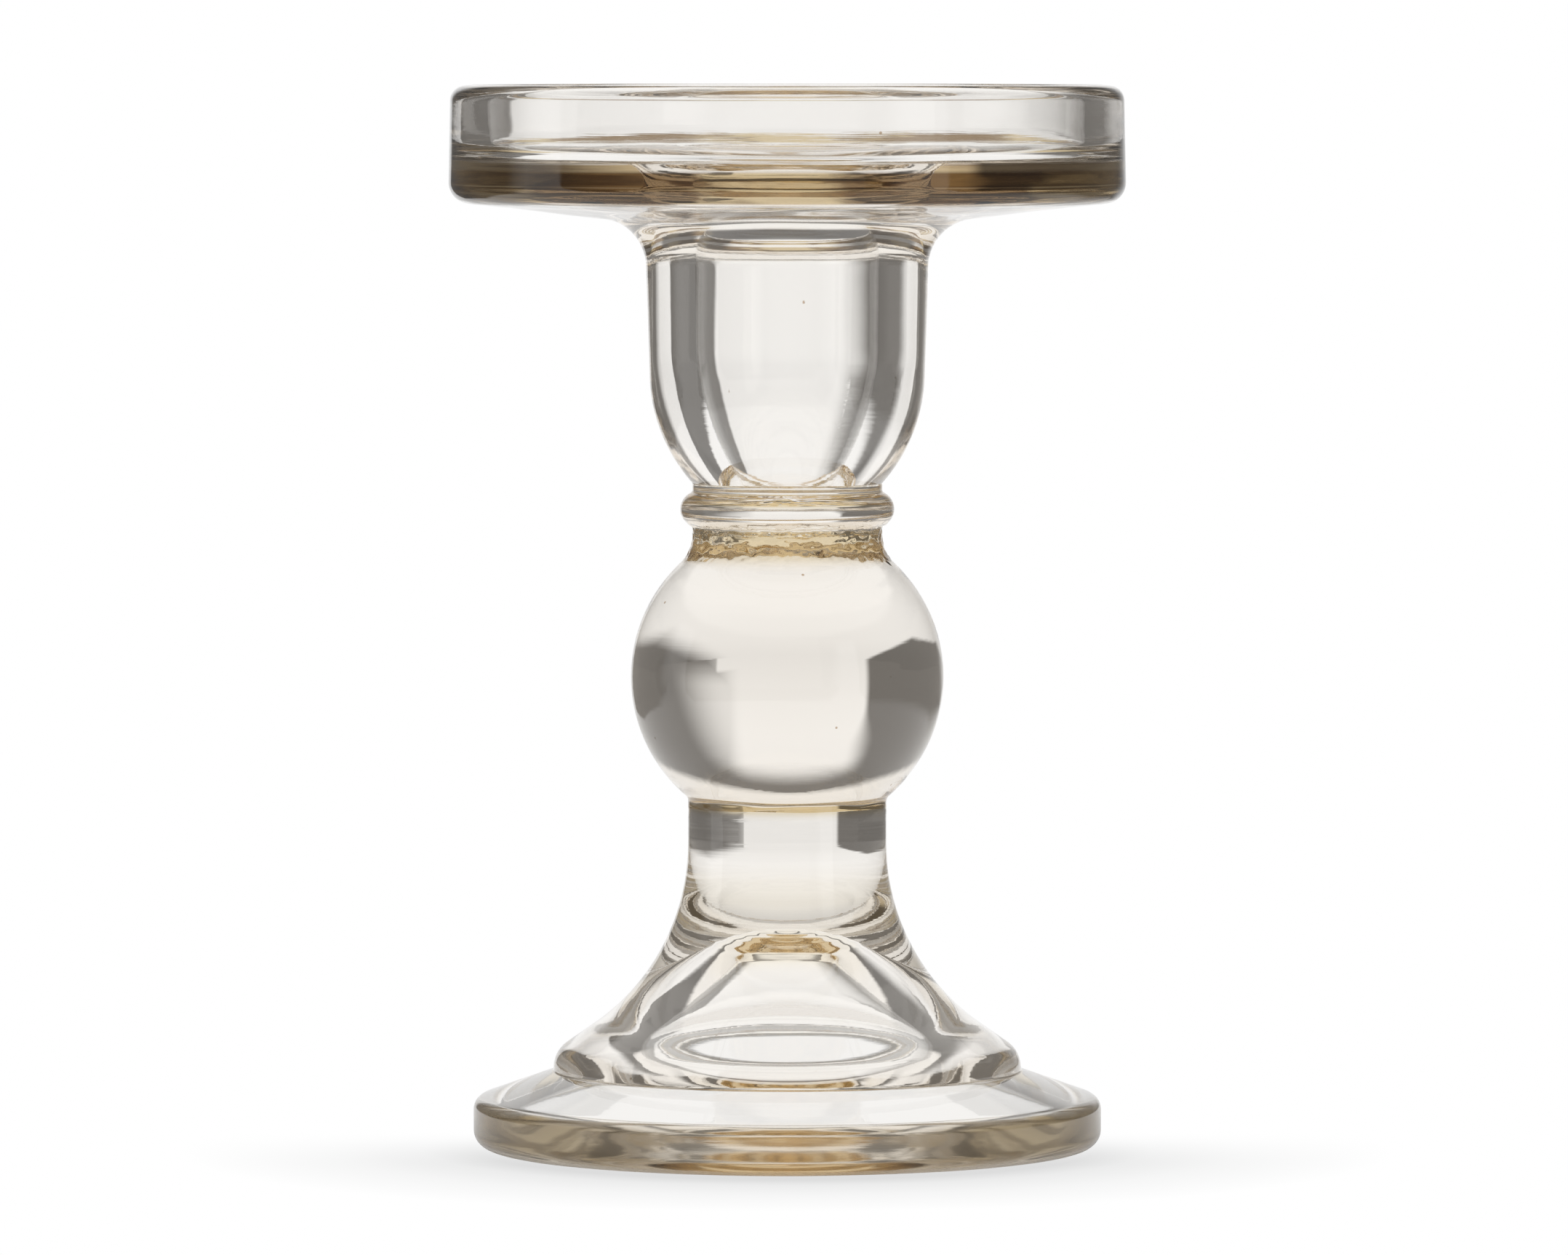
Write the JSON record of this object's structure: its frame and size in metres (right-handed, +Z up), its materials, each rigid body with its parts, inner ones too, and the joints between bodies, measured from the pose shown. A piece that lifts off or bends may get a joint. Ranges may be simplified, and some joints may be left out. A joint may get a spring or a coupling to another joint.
{
  "type": "candlestick",
  "caption": "Clear glass candlestick with a rimmed pillar plate over a taper socket, on a ball stem and a hollow domed foot.",
  "frame": {"origin": "centre of the circle that the foot stands on", "axes": "+Z up along the axis of revolution, from the foot to the plate; X and Y are any two horizontal directions, because the object is round"},
  "size_m": [0.089, 0.089, 0.14],
  "materials": {
    "pressed_glass": "fire-polished, clear with a faint champagne tint where the glass is thick"
  },
  "bodies": {
    "root": {"plate_and_cup": "pressed_glass", "bead_collar": "pressed_glass", "ball_knop": "pressed_glass", "pedestal_foot": "pressed_glass"}
  },
  "joints": []
}
